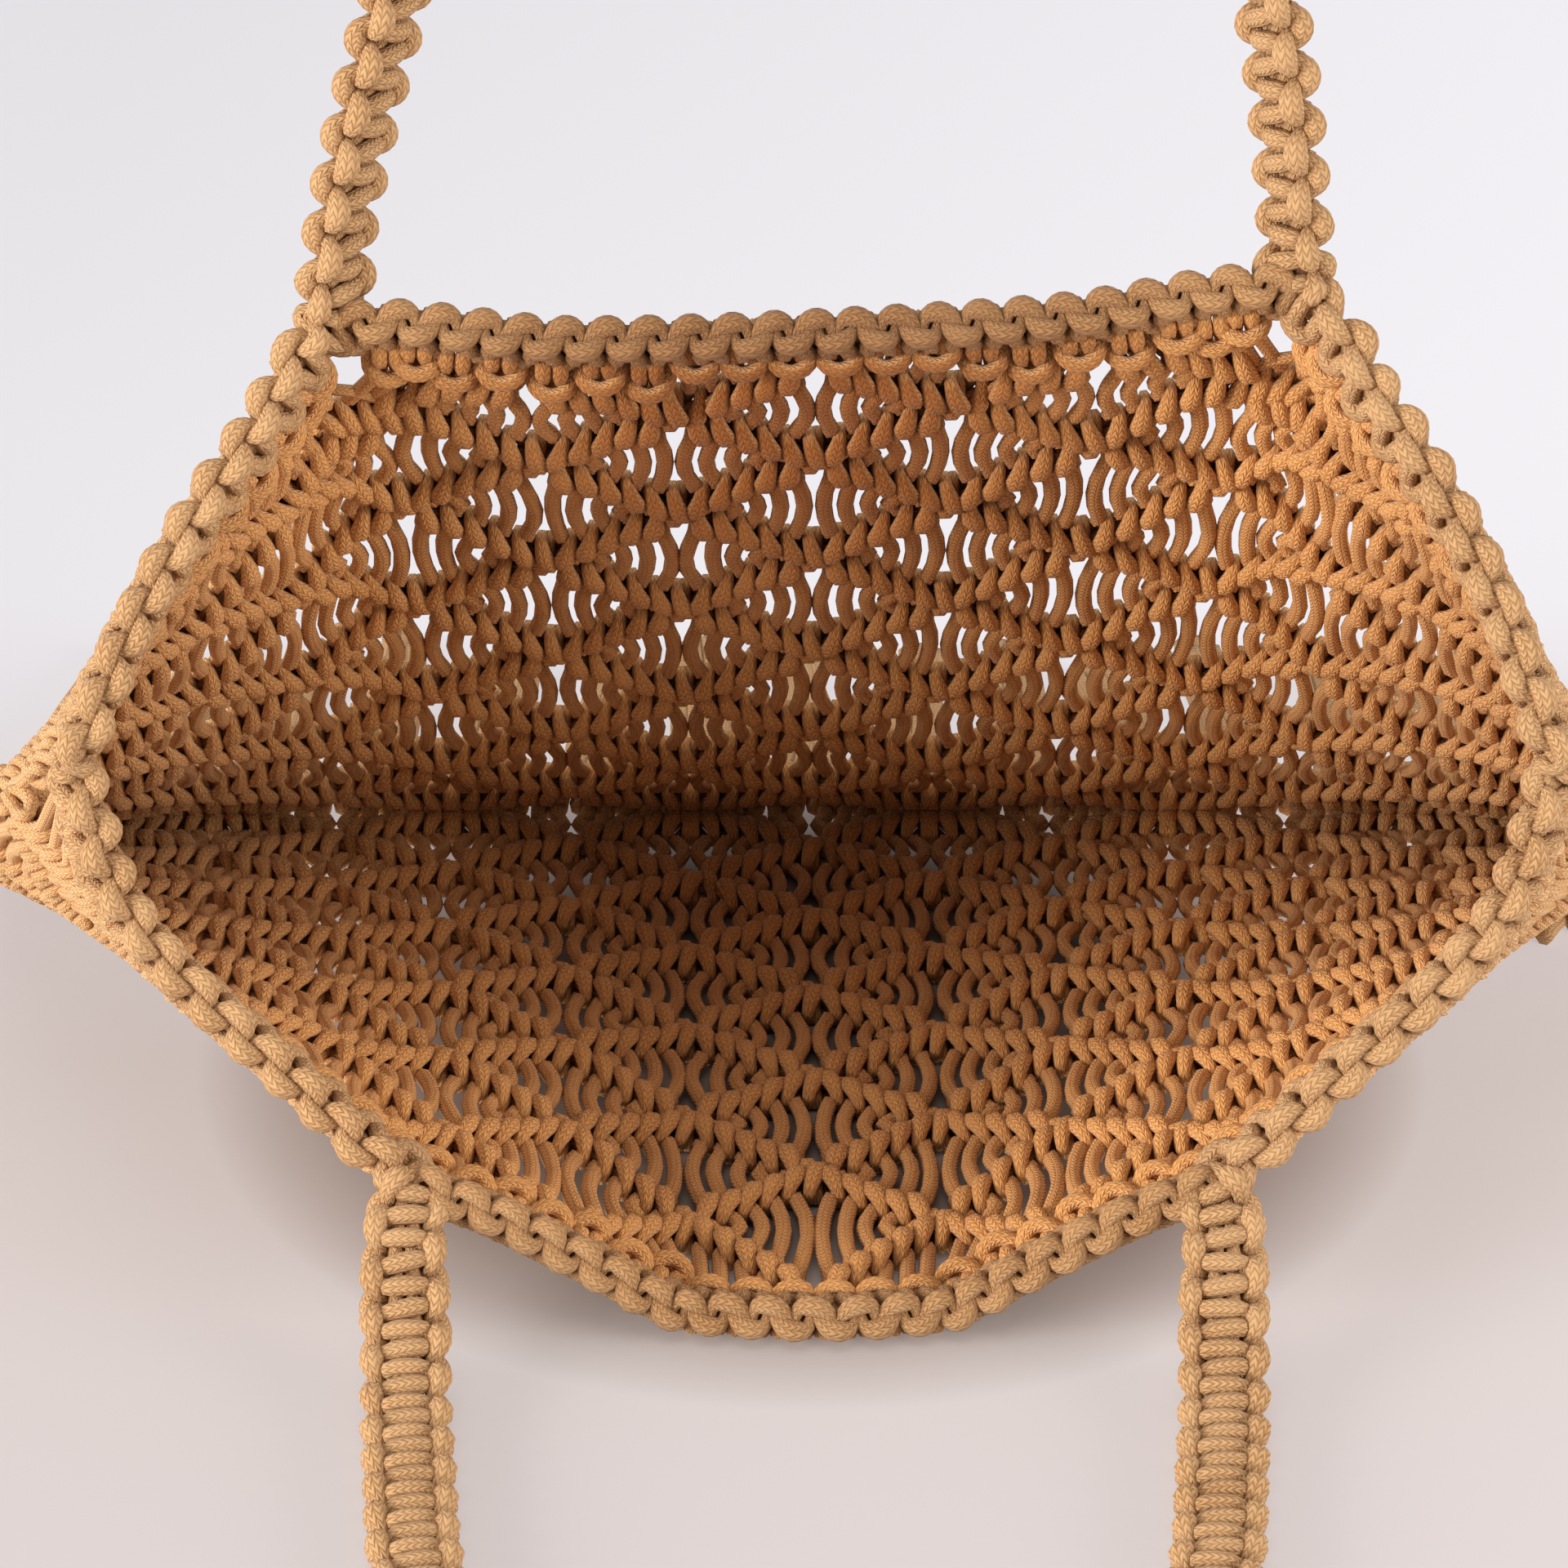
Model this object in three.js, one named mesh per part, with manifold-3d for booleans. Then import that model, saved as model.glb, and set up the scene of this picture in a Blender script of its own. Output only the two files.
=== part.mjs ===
// A knotted cotton tote bag, lying on its front panel with its mouth held open.
// Millimetres. +X is the bag's width, +Y runs from the mouth to the bottom seam, +Z is up, floor at z = 0.
import * as THREE from 'three';
import { mergeVertices } from 'three/addons/utils/BufferGeometryUtils.js';
import Module from 'manifold-3d';

// Driving dimensions
const WALL = 7; // the knotted net, about two cords thick
const GAP = 0.3; // kept between neighbouring pieces
const SEAM_HALF = 215; // half of the bag's flat width
const SEAM_Y = 262; // where both panels end at the bottom
const BAND_WIDTH = 19; // square-knot strap
const BAND_THICK = 10;
const ROOT_U = 0.48; // where the straps leave the rim, as a share of the half width
const FLARE = 2.2; // how fast the sides spread out below the drawn-in rim
const SAG_CENTRE = 1.25; // how the net falls from the rim to the seam, at the middle
const SAG_SIDE = 1.35; // and at the side folds
const RIM_TILT = 4.5; // the back rim's right end is held higher than its left one
const LOOP_LEAN = 0.05; // the back handle leans to the right as it rises
const LOOP_TURN = 60; // how far the back loop's face is turned inwards from the viewer, in degrees

// The net: diamonds between the knotted ridges, counted in half diamonds
const NET_COLUMNS = 14;
const NET_ROWS = 11;
const FRONT_SPREAD = 0.88; // rows beside the rim are taller than those beside the seam where this is under 1
const BACK_SPREAD = 1.18;
const CLOSED_ROWS = 2; // no gaps in the half rows beside the seam
const GAP_CORNER = 0.5; // a gap's corners and edge middles, as shares of its diamond
const GAP_EDGE = 0.56;

// Bottom seam and fringe
const SEAM_WIDE = 13;
const SEAM_TALL = 14.4;
const FRINGE_HEAD = 7;
const LOCK_COUNT = 15;
const LOCK_LENGTH = 88;
const LOCK_WIDE = 25;
const LOCK_THICK = 9;
const LOCK_FAN = -13; // how far the outermost locks turn outwards, in degrees
const CORNER_WIDE = 11; // a thin lock that curls round the right end of the seam
const CORNER_THICK = 4.4;

const FRONT_SEAM_Z = WALL / 2;
const BACK_SEAM_Z = FRONT_SEAM_Z + WALL + 0.4;
const REST_LIFT = BAND_THICK / 2; // the rim's own centre height where it lies on the floor

// Half of each rim, from the middle (u = 0) to the pinched side fold (u = 1)
const FRONT_RIM = [
  { u: 0, x: 0, y: 10, z: 5 },
  { u: 0.145, x: 29, y: 13, z: 5 },
  { u: 0.25, x: 49, y: 15, z: 15 },
  { u: 0.37, x: 70, y: 17, z: 26 },
  { u: 0.48, x: 90, y: 19, z: 35 },
  { u: 0.6, x: 110, y: 25, z: 52 },
  { u: 0.7, x: 126, y: 29, z: 66 },
  { u: 0.8, x: 143, y: 33, z: 82 },
  { u: 0.9, x: 155, y: 36, z: 101 },
  { u: 1, x: 160, y: 38, z: 123 },
];
const BACK_RIM = [
  { u: 0, x: 0, y: 92, z: 205 },
  { u: 0.24, x: 53, y: 92, z: 206 },
  { u: 0.48, x: 106, y: 91, z: 211 },
  { u: 0.6, x: 119, y: 82, z: 195 },
  { u: 0.73, x: 135, y: 69, z: 175 },
  { u: 0.87, x: 150, y: 54, z: 152 },
  { u: 1, x: 160, y: 38, z: 130.4 },
];

// Half of each handle's loop, from its root to the middle
const FRONT_LOOP = [
  { x: 90, y: 5, z: 26 },
  { x: 89, y: -12, z: 13 },
  { x: 88, y: -32, z: 6.4 },
  { x: 86, y: -56, z: 5 },
  { x: 82, y: -95, z: 5 },
  { x: 72, y: -133, z: 5 },
  { x: 53, y: -166, z: 5 },
  { x: 28, y: -185, z: 5 },
  { x: 0, y: -191, z: 5 },
];
const BACK_LOOP = [
  { x: 104, y: 92, z: 230 },
  { x: 100, y: 94, z: 255 },
  { x: 94, y: 96, z: 282 },
  { x: 85, y: 98, z: 322 },
  { x: 66, y: 99, z: 364 },
  { x: 36, y: 100, z: 394 },
  { x: 0, y: 100, z: 403 },
];

// The corner lock's way over the floor, from the head to its tip
const CORNER_WAY = [
  { x: 203, y: 280.5 }, { x: 216, y: 284 }, { x: 224, y: 277 }, { x: 224.5, y: 262 }, { x: 223, y: 246 },
  { x: 216, y: 233 }, { x: 204, y: 221 }, { x: 191, y: 210 }, { x: 183, y: 197 },
];

const wasm = await Module();
wasm.setup();

// Smooth curve through a table of rows, read at u from -1 to 1, mirrored about the middle
function mirrored(rows) {
  const left = rows.slice(1).reverse().map((r) => ({ u: -r.u, x: -r.x, y: r.y, z: r.z }));
  return left.concat(rows);
}

function readTable(rows, u, key) {
  let k = 0;
  while (k < rows.length - 2 && u > rows[k + 1].u) k += 1;
  const slope = (i) => {
    const a = rows[Math.max(i - 1, 0)];
    const b = rows[Math.min(i + 1, rows.length - 1)];
    return (b[key] - a[key]) / (b.u - a.u);
  };
  const span = rows[k + 1].u - rows[k].u;
  const t = (u - rows[k].u) / span;
  const t2 = t * t;
  const t3 = t2 * t;
  return (2 * t3 - 3 * t2 + 1) * rows[k][key] + (t3 - 2 * t2 + t) * span * slope(k)
    + (3 * t2 - 2 * t3) * rows[k + 1][key] + (t3 - t2) * span * slope(k + 1);
}

const front = {
  rows: mirrored(FRONT_RIM), seamZ: FRONT_SEAM_Z, lift: REST_LIFT, tilt: 0, lean: 0, inside: 1,
  spread: FRONT_SPREAD,
};
const back = {
  rows: mirrored(BACK_RIM), seamZ: BACK_SEAM_Z, lift: BACK_SEAM_Z, tilt: RIM_TILT, lean: LOOP_LEAN, inside: -1,
  spread: BACK_SPREAD,
};

// The rim's centre line; the tilt is nothing at the middle and at the folds
function rimPoint(side, u) {
  const tilt = side.tilt * 2.6 * u * (1 - u * u);
  const z = Math.max(readTable(side.rows, u, 'z') + tilt, REST_LIFT);
  return new THREE.Vector3(readTable(side.rows, u, 'x'), readTable(side.rows, u, 'y'), z);
}

// The net's middle surface: v = 0 on the rim's centre line, v = 1 at the seam
function netPoint(side, u, v) {
  const rim = rimPoint(side, u);
  const away = 1 - v;
  const sag = SAG_CENTRE + (SAG_SIDE - SAG_CENTRE) * u * u;
  return new THREE.Vector3(
    SEAM_HALF * u + (rim.x - SEAM_HALF * u) * away ** FLARE,
    SEAM_Y + (rim.y - SEAM_Y) * away,
    side.seamZ + (rim.z - side.lift) * away ** sag,
  );
}

// Unit normal of the net, towards the inside of the bag
function netNormal(side, u, v) {
  const step = 1e-3;
  const u0 = Math.max(u - step, -1);
  const u1 = Math.min(u + step, 1);
  const v1 = Math.min(v + step, 1);
  const across = netPoint(side, u1, v).sub(netPoint(side, u0, v));
  const along = netPoint(side, u, v1).sub(netPoint(side, u, v1 - 2 * step));
  return across.cross(along).normalize().multiplyScalar(side.inside);
}

// Geometry helpers
function geometryFrom(points, faces) {
  const geometry = new THREE.BufferGeometry();
  geometry.setAttribute('position', new THREE.Float32BufferAttribute(points.flatMap((p) => [p.x, p.y, p.z]), 3));
  geometry.setIndex(faces.flat());
  return geometry;
}

function signedVolume(points, faces) {
  return faces.reduce((sum, [a, b, c]) => sum + points[a].dot(points[b].clone().cross(points[c])) / 6, 0);
}

function closedBody(points, faces) {
  const outward = signedVolume(points, faces) > 0 ? faces : faces.map(([a, b, c]) => [a, c, b]);
  return geometryFrom(points, outward);
}

// A body through rings of equal point counts, closed by a fan at each end
function loft(rings) {
  const count = rings[0].length;
  const points = rings.flat();
  const faces = [];
  for (let r = 0; r + 1 < rings.length; r += 1) {
    for (let k = 0; k < count; k += 1) {
      const a = r * count + k;
      const b = r * count + ((k + 1) % count);
      faces.push([a, b, b + count], [a, b + count, a + count]);
    }
  }
  const last = (rings.length - 1) * count;
  for (let k = 1; k + 1 < count; k += 1) {
    faces.push([0, k + 1, k], [last, last + k, last + k + 1]);
  }
  return closedBody(points, faces);
}

// Eight-sided flattened section, as shares of its width and thickness
const SECTION = [
  { w: 0.5, t: 0.24 }, { w: 0.32, t: 0.5 }, { w: -0.32, t: 0.5 }, { w: -0.5, t: 0.24 },
  { w: -0.5, t: -0.24 }, { w: -0.32, t: -0.5 }, { w: 0.32, t: -0.5 }, { w: 0.5, t: -0.24 },
];

function sectionRing(centre, wide, thin, width, thick) {
  return SECTION.map((s) => centre.clone().addScaledVector(wide, s.w * width).addScaledVector(thin, s.t * thick));
}

// A strap along stations of a centre point and a face normal
function strap(stations, width, thick) {
  const rings = stations.map((station, k) => {
    const before = stations[Math.max(k - 1, 0)].centre;
    const after = stations[Math.min(k + 1, stations.length - 1)].centre;
    const tangent = after.clone().sub(before).normalize();
    const wide = station.face.clone().cross(tangent).normalize();
    const thin = tangent.clone().cross(wide).normalize();
    return sectionRing(station.centre, wide, thin, width, thick);
  });
  return loft(rings);
}

// Boolean joins and cuts
function toSolid(geometry) {
  const bare = geometry.clone();
  bare.deleteAttribute('normal');
  bare.deleteAttribute('uv');
  const merged = mergeVertices(bare);
  return new wasm.Manifold(new wasm.Mesh({
    numProp: 3,
    vertProperties: new Float32Array(merged.attributes.position.array),
    triVerts: new Uint32Array(merged.index.array),
  }));
}

function fromSolid(solid) {
  const mesh = solid.getMesh();
  const geometry = new THREE.BufferGeometry();
  geometry.setAttribute('position', new THREE.BufferAttribute(new Float32Array(mesh.vertProperties), 3));
  geometry.setIndex(new THREE.BufferAttribute(new Uint32Array(mesh.triVerts), 1));
  return geometry;
}

// Panels
const EDGE_V = (BAND_WIDTH / 2 + GAP + 1.4) / SEAM_Y; // the net starts below the strap along the rim

function netCoordinates(side, i, j) {
  return { u: (2 * i) / NET_COLUMNS - 1, v: EDGE_V + (1 - EDGE_V) * (j / NET_ROWS) ** side.spread };
}

// Outline of the diamond about (i, j), cut off at the panel's edges, with the middle of each slanted edge
function diamondOutline(i, j) {
  const inside = (a, b) => a >= 0 && a <= NET_COLUMNS && b >= 0 && b <= NET_ROWS;
  const corners = [[i - 1, j], [i, j - 1], [i + 1, j], [i, j + 1]].map(([a, b]) => (inside(a, b) ? [a, b] : [i, j]));
  const outline = [];
  corners.forEach((corner, k) => {
    const next = corners[(k + 1) % corners.length];
    if (corner[0] === next[0] && corner[1] === next[1]) return;
    outline.push(corner);
    if (corner[0] !== next[0] && corner[1] !== next[1]) {
      outline.push([(corner[0] + next[0]) / 2, (corner[1] + next[1]) / 2]);
    }
  });
  return outline;
}

function panel(side) {
  const ids = new Map();
  const middle = [];
  const faces = [];
  const pointId = ([a, b]) => {
    const key = `${a.toFixed(4)},${b.toFixed(4)}`;
    if (!ids.has(key)) {
      ids.set(key, middle.length);
      middle.push(netCoordinates(side, a, b));
    }
    return ids.get(key);
  };
  for (let i = 0; i <= NET_COLUMNS; i += 1) {
    for (let j = i % 2; j <= NET_ROWS; j += 2) {
      const outline = diamondOutline(i, j);
      const whole = i > 0 && i < NET_COLUMNS && j > 0 && j < NET_ROWS;
      const pierced = whole && j <= NET_ROWS - CLOSED_ROWS;
      const inner = outline.map(([a, b]) => {
        const share = Number.isInteger(a) && Number.isInteger(b) ? GAP_CORNER : GAP_EDGE;
        return [i + (a - i) * share, j + (b - j) * share];
      });
      outline.forEach((p, k) => {
        const q = outline[(k + 1) % outline.length];
        if (pierced) {
          const pi = inner[k];
          const qi = inner[(k + 1) % outline.length];
          faces.push([pointId(p), pointId(q), pointId(qi)], [pointId(p), pointId(qi), pointId(pi)]);
        } else {
          const centre = pointId([i, j]);
          if (pointId(p) !== centre && pointId(q) !== centre) faces.push([pointId(p), pointId(q), centre]);
        }
      });
    }
  }
  return thickened(side, middle, faces);
}

// Both faces of a sheet and a wall along every open edge, those of the gaps too
function thickened(side, middle, faces) {
  const count = middle.length;
  const face = (offset) => middle.map(({ u, v }) => (
    netPoint(side, u, v).addScaledVector(netNormal(side, u, v), offset)
  ));
  const points = face(WALL / 2).concat(face(-WALL / 2));
  const edges = new Set(faces.flatMap(([a, b, c]) => [`${a},${b}`, `${b},${c}`, `${c},${a}`]));
  const walls = [];
  edges.forEach((edge) => {
    const [a, b] = edge.split(',').map(Number);
    if (!edges.has(`${b},${a}`)) walls.push([b, a, a + count], [b, a + count, b + count]);
  });
  const under = faces.map(([a, b, c]) => [a + count, c + count, b + count]);
  return closedBody(points, [...faces, ...under, ...walls]);
}

// Handles: along the rim from the left fold to the root, round the loop and back to the right fold
const RIM_STEPS = 9;
const FOLD_OVERRUN = 9;

function rimStation(side, u) {
  return { centre: rimPoint(side, u), face: netNormal(side, u, EDGE_V) };
}

function handleStations(side, loop, loopFace) {
  const half = (sign) => {
    const rim = Array.from({ length: RIM_STEPS }, (_, k) => (
      rimStation(side, sign * (1 + (ROOT_U - 1) * (k / (RIM_STEPS - 1))))
    ));
    const beyond = rim[0].centre.clone().sub(rim[1].centre).setLength(FOLD_OVERRUN).add(rim[0].centre);
    const rise = loop.map((p) => ({
      centre: new THREE.Vector3(
        sign * p.x + side.lean * (p.z - loop[0].z), p.y, p.z + (sign * side.tilt * p.x) / loop[0].x,
      ),
      face: loopFace(sign * p.x, p.z),
    }));
    return [{ centre: beyond, face: rim[0].face }, ...rim, ...rise];
  };
  const left = half(-1);
  const controls = left.concat(half(1).reverse().slice(1));
  const curve = new THREE.CatmullRomCurve3(controls.map((c) => c.centre), false, 'centripetal');
  const steps = 2 * (controls.length - 1);
  return Array.from({ length: steps + 1 }, (_, k) => {
    const at = Math.min(Math.floor(k / 2), controls.length - 2);
    const share = k / 2 - at;
    const face = controls[at].face.clone().lerp(controls[at + 1].face, share).normalize();
    return { centre: curve.getPoint(k / steps), face };
  });
}

// The two handles meet at the folds on a slanted plane through each pinch
function foldCutter(sideSign) {
  const pinchZ = (FRONT_RIM.at(-1).z + BACK_RIM.at(-1).z) / 2;
  const pinchY = FRONT_RIM.at(-1).y;
  const slant = Math.atan2(pinchZ - BACK_SEAM_Z, SEAM_Y - pinchY);
  const size = 600;
  const box = new THREE.BoxGeometry(size, size, size);
  box.translate(0, 0, sideSign * (size / 2 - GAP / 2));
  box.rotateX(-slant);
  box.translate(0, pinchY, pinchZ);
  return toSolid(box);
}

// The front loop lies flat; the back one shows its edge and turns its face towards the loop's middle
function turnedFace(x, z) {
  const turn = THREE.MathUtils.degToRad(LOOP_TURN);
  const inward = new THREE.Vector3(-x, 0, (BACK_LOOP[0].z + BACK_LOOP.at(-1).z) / 2 - z);
  if (z < BACK_LOOP[3].z) inward.z = 0;
  return inward.setLength(Math.sin(turn)).add(new THREE.Vector3(0, -Math.cos(turn), 0));
}

const frontStations = handleStations(front, FRONT_LOOP, () => new THREE.Vector3(0, 0, 1));
const backStations = handleStations(back, BACK_LOOP, turnedFace);

function handle(stations, cutter) {
  return toSolid(strap(stations, BAND_WIDTH, BAND_THICK)).subtract(cutter);
}

// Rim rolls between the roots of a handle, cut back from it
const ROLL_STEPS = 20;

function rimRoll(side, stations) {
  const roll = Array.from({ length: ROLL_STEPS + 1 }, (_, k) => (
    rimStation(side, ROOT_U * ((2 * k) / ROLL_STEPS - 1))
  ));
  const clear = strap(stations, BAND_WIDTH + 2 * GAP, BAND_THICK + 2 * GAP);
  const pieces = toSolid(strap(roll, BAND_WIDTH, BAND_THICK)).subtract(toSolid(clear)).decompose();
  return fromSolid(pieces.reduce((best, piece) => (piece.volume() > best.volume() ? piece : best)));
}

// Bottom seam: a knotted bar behind the ends of both panels
const SEAM_CENTRE_Y = SEAM_Y + GAP + SEAM_WIDE / 2;

function seamBar(y, wide, tall, half) {
  const ends = [-half, half].map((x) => sectionRing(
    new THREE.Vector3(x, y, tall / 2), new THREE.Vector3(0, 1, 0), new THREE.Vector3(0, 0, 1), wide, tall,
  ));
  return loft(ends);
}

// Fringe: locks of cord ends that lie on the floor, fused to a head beside the seam
const HEAD_Y = SEAM_CENTRE_Y + SEAM_WIDE / 2 + GAP + FRINGE_HEAD / 2;
const LOCK_STEPS = 6;

// A lock leaves the head straight and turns outwards, by the given degrees and a small bend of its own
function lock(rootX, degrees, length, bend) {
  const centre = new THREE.Vector3(rootX, HEAD_Y, 0);
  const rings = [];
  for (let k = 0; k <= LOCK_STEPS; k += 1) {
    const share = k / LOCK_STEPS;
    const turn = THREE.MathUtils.degToRad(degrees * Math.sqrt(share) + bend * share);
    const wide = new THREE.Vector3(Math.cos(turn), -Math.sin(turn), 0);
    const thick = LOCK_THICK * (1 - 0.4 * share);
    centre.z = thick / 2;
    rings.push(sectionRing(centre, wide, new THREE.Vector3(0, 0, 1), LOCK_WIDE * (1 - 0.35 * share * share), thick));
    centre.x += (Math.sin(turn) * length) / LOCK_STEPS;
    centre.y += (Math.cos(turn) * length) / LOCK_STEPS;
  }
  return toSolid(loft(rings));
}

function cornerLock() {
  const way = new THREE.CatmullRomCurve3(CORNER_WAY.map((p) => new THREE.Vector3(p.x, p.y, CORNER_THICK / 2)));
  const steps = 2 * (CORNER_WAY.length - 1);
  const rings = Array.from({ length: steps + 1 }, (_, k) => {
    const wide = way.getTangent(k / steps).cross(new THREE.Vector3(0, 0, 1)).normalize();
    return sectionRing(way.getPoint(k / steps), wide, new THREE.Vector3(0, 0, 1), CORNER_WIDE, CORNER_THICK);
  });
  return toSolid(loft(rings));
}

function fringe() {
  const rootHalf = SEAM_HALF - LOCK_WIDE / 2 - 4;
  let solid = toSolid(seamBar(HEAD_Y, FRINGE_HEAD, LOCK_THICK + 2, SEAM_HALF - 2));
  for (let k = 0; k < LOCK_COUNT; k += 1) {
    const share = (2 * k) / (LOCK_COUNT - 1) - 1;
    const length = LOCK_LENGTH * (1 + 0.1 * Math.sin(2.3 * k + 0.6));
    const bend = 9 * Math.sin(1.7 * k);
    solid = solid.add(lock(rootHalf * share, LOCK_FAN * share, length, bend));
  }
  return fromSolid(solid.add(cornerLock()));
}

// Assembly
const cotton = (color) => new THREE.MeshStandardMaterial({ color, roughness: 0.92, metalness: 0 });
const bag = new THREE.Group();

function addPiece(name, geometry, color) {
  const mesh = new THREE.Mesh(geometry, cotton(color));
  mesh.name = name;
  bag.add(mesh);
}

addPiece('back_panel', panel(back), 0xb07a3f);
addPiece('front_panel', panel(front), 0xb07a3f);
addPiece('back_rim', rimRoll(back, backStations), 0xbd8649);
addPiece('front_rim', rimRoll(front, frontStations), 0xbd8649);
addPiece('back_handle', fromSolid(handle(backStations, foldCutter(-1))), 0xc08a4c);
addPiece('front_handle', fromSolid(handle(frontStations, foldCutter(1))), 0xc08a4c);
addPiece('bottom_seam', seamBar(SEAM_CENTRE_Y, SEAM_WIDE, SEAM_TALL, SEAM_HALF), 0xa9743b);
addPiece('fringe', fringe(), 0xb98046);

// The origin is on the floor under the middle of the bag's box
const box = new THREE.Box3().setFromObject(bag);
const middle = box.getCenter(new THREE.Vector3());
bag.position.set(-middle.x, -middle.y, -box.min.z);
bag.updateMatrixWorld(true);

export default bag;
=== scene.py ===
import math

import bpy
import numpy as np
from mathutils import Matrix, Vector


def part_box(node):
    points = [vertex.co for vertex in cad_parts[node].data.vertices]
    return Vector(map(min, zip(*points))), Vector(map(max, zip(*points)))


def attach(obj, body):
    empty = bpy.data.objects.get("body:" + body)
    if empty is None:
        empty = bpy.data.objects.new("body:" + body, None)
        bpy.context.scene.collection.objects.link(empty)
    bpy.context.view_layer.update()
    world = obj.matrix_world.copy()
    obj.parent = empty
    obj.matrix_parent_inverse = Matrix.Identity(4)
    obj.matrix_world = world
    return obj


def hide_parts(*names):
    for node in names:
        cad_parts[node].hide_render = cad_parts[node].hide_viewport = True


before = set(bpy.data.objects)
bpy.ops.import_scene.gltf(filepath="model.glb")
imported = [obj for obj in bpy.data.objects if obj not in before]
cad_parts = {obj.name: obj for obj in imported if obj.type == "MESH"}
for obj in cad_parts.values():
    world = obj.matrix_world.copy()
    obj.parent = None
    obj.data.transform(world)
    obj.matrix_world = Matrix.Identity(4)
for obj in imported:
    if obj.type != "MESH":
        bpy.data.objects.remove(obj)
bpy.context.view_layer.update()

# The layout that the solids share
SEAM_HALF = 215.0
SEAM_Y = 262.0
BAND_WIDTH = 19.0
ROOT_U = 0.48
FLARE = 2.2
SAG_CENTRE = 1.25
SAG_SIDE = 1.35
REST_LIFT = 5.0
RIM_TILT = 2.6
LOOP_LEAN = 0.05
LOOP_TURN = math.radians(60)
NET_COLUMNS = 14
NET_ROWS = 11
EDGE_V = (BAND_WIDTH / 2 + 1.7) / SEAM_Y
FRONT_RIM = [
    (0, 0, 10, 5), (0.145, 29, 13, 5), (0.25, 49, 15, 15), (0.37, 70, 17, 26), (0.48, 90, 19, 35),
    (0.6, 110, 25, 52), (0.7, 126, 29, 66), (0.8, 143, 33, 82), (0.9, 155, 36, 101), (1, 160, 38, 123),
]
BACK_RIM = [
    (0, 0, 92, 205), (0.24, 53, 92, 206), (0.48, 106, 91, 211), (0.6, 119, 82, 195),
    (0.73, 135, 69, 175), (0.87, 150, 54, 152), (1, 160, 38, 130.4),
]
FRONT_LOOP = [
    (90, 5, 26), (89, -12, 13), (88, -32, 6.4), (86, -56, 5), (82, -95, 5),
    (72, -133, 5), (53, -166, 5), (28, -185, 5), (0, -191, 5),
]
BACK_LOOP = [
    (104, 92, 230), (100, 94, 255), (94, 96, 282), (85, 98, 322),
    (66, 99, 364), (36, 100, 394), (0, 100, 403),
]
CORNER_WAY = [
    (203, 280.5), (216, 284), (224, 277), (224.5, 262), (223, 246),
    (216, 233), (204, 221), (191, 210), (183, 197),
]
HEAD_Y = 279.1
LOCK_COUNT = 15
LOCK_LENGTH = 88.0
LOCK_UNEVEN = 0.1
LOCK_WIDE = 25.0
LOCK_THICK = 9.0
LOCK_FAN = -13.0
LOCK_BEND = 9.0
LOCK_STEPS = 6

# The cord and its knots
CORD = 2.0
CORDS_PER_HALF = 6
CORD_COUNT = NET_COLUMNS * CORDS_PER_HALF
KNOT_GAP = 8.6
CENTRE_KNOT = 11.0
FIRST_KNOT = 19.0
CENTRE_U = 0.13
LAST_KNOT = 7.5
SEAM_ROOM = 6.0
LEAVE = 1.2
ENTER = 1.3
INNER_BOW = 1.4
OUTER_BOW = 1.1
KNOT_TAIL = 7.2
KNOT_HEAD = 7.0
TIGHT_PAIR = 10.0
TIGHT_DROP = 4.0
TIGHT_SINK = 1.3
BARE_LEAST = 14.0
LONG_BARE = 20.0
FAR_KNOT = 24.0
RIDGE_CORE = 1.5
CARRIER = 7.4
LARK_HALF = 2.55
LARK_LOW = 1.6
LARK_HIGH = -1.4
LARK_CENTRE = -6.0
ROOT_GAP = 0.034
ROOT_SPREAD = 0.07
ROOT_NEAR = 0.05
ROOT_KNOT = 34.0
LOCK_FILL = 0.66
CORNER_LANE = 3.6
FOLD_OVERRUN = 6.0
FOLD_START = 0.94
FOLD_HALF = 3.7
NET_SIDES = 6
STRAP_SIDES = 7
CORE_SIDES = 5

# Square knots of the straps: lengths, and shares of a full-size knot
HALF_KNOT = 4.6
HANDLE_KNOT = 5.5
STRAP_CORE = 1.9
FOLD_WIDTH = 0.4
SIDE_WIDTH = 0.8
SIDE_TURN = 1.06
BACK_LOOP_WIDTH = 0.88
FRONT_LOOP_WIDTH = 1.0
TAPER = 16.0
WIDENING = 30.0
RIM_WIDTH = 0.74
RIM_TURN = 1.22
RIM_GIRTH = 0.9
RIM_LEAN = 0.9
RIM_ROLL = math.radians(22)
SEAM_KNOT_LONG = 13.0
SEAM_KNOT_IN = 1.2
SEAM_KNOT_WIDE = 0.5
SEAM_KNOT_GIRTH = 0.95
SEAM_KNOT_DEPTH = 1.4
SEAM_KNOT_Z = 7.3

# Colours of the cotton: light on the stitches and dark between them, partly uneven dye and partly painted
# shade in the grooves. Net, rim and handle are one cotton; the net's lighter pair and the rim's darker
# pair are copies painted to how light falls on them. The colours the cord is multiplied by where it faces
# the bag's hollow, and deeper in it, are painted shade.
PLAIN = (1.0, 1.0, 1.0)
NET_LIGHT = (0.755, 0.446, 0.21)
NET_DARK = (0.38, 0.175, 0.06)
NET_PAINTED_SHADE = (1.0, 0.8, 0.54)
NET_PAINTED_DEEP_SHADE = (0.4, 0.264, 0.135)
RIM_LIGHT = (0.525, 0.308, 0.145)
RIM_DARK = (0.285, 0.122, 0.033)
RIM_PAINTED_SHADE = (0.88, 0.8, 0.7)
RIM_PAINTED_DEEP_SHADE = (0.6, 0.52, 0.46)
OUTER_LIGHT = (0.575, 0.338, 0.158)
OUTER_DARK = (0.315, 0.133, 0.034)
# The back rim's least share of the painted hollow shade
BACK_RIM_PAINTED_SHADE = 0.8
HOLLOW_HALF = 90.0
HOLLOW_Y = 30.0
HOLLOW_Z = 85.0
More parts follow.
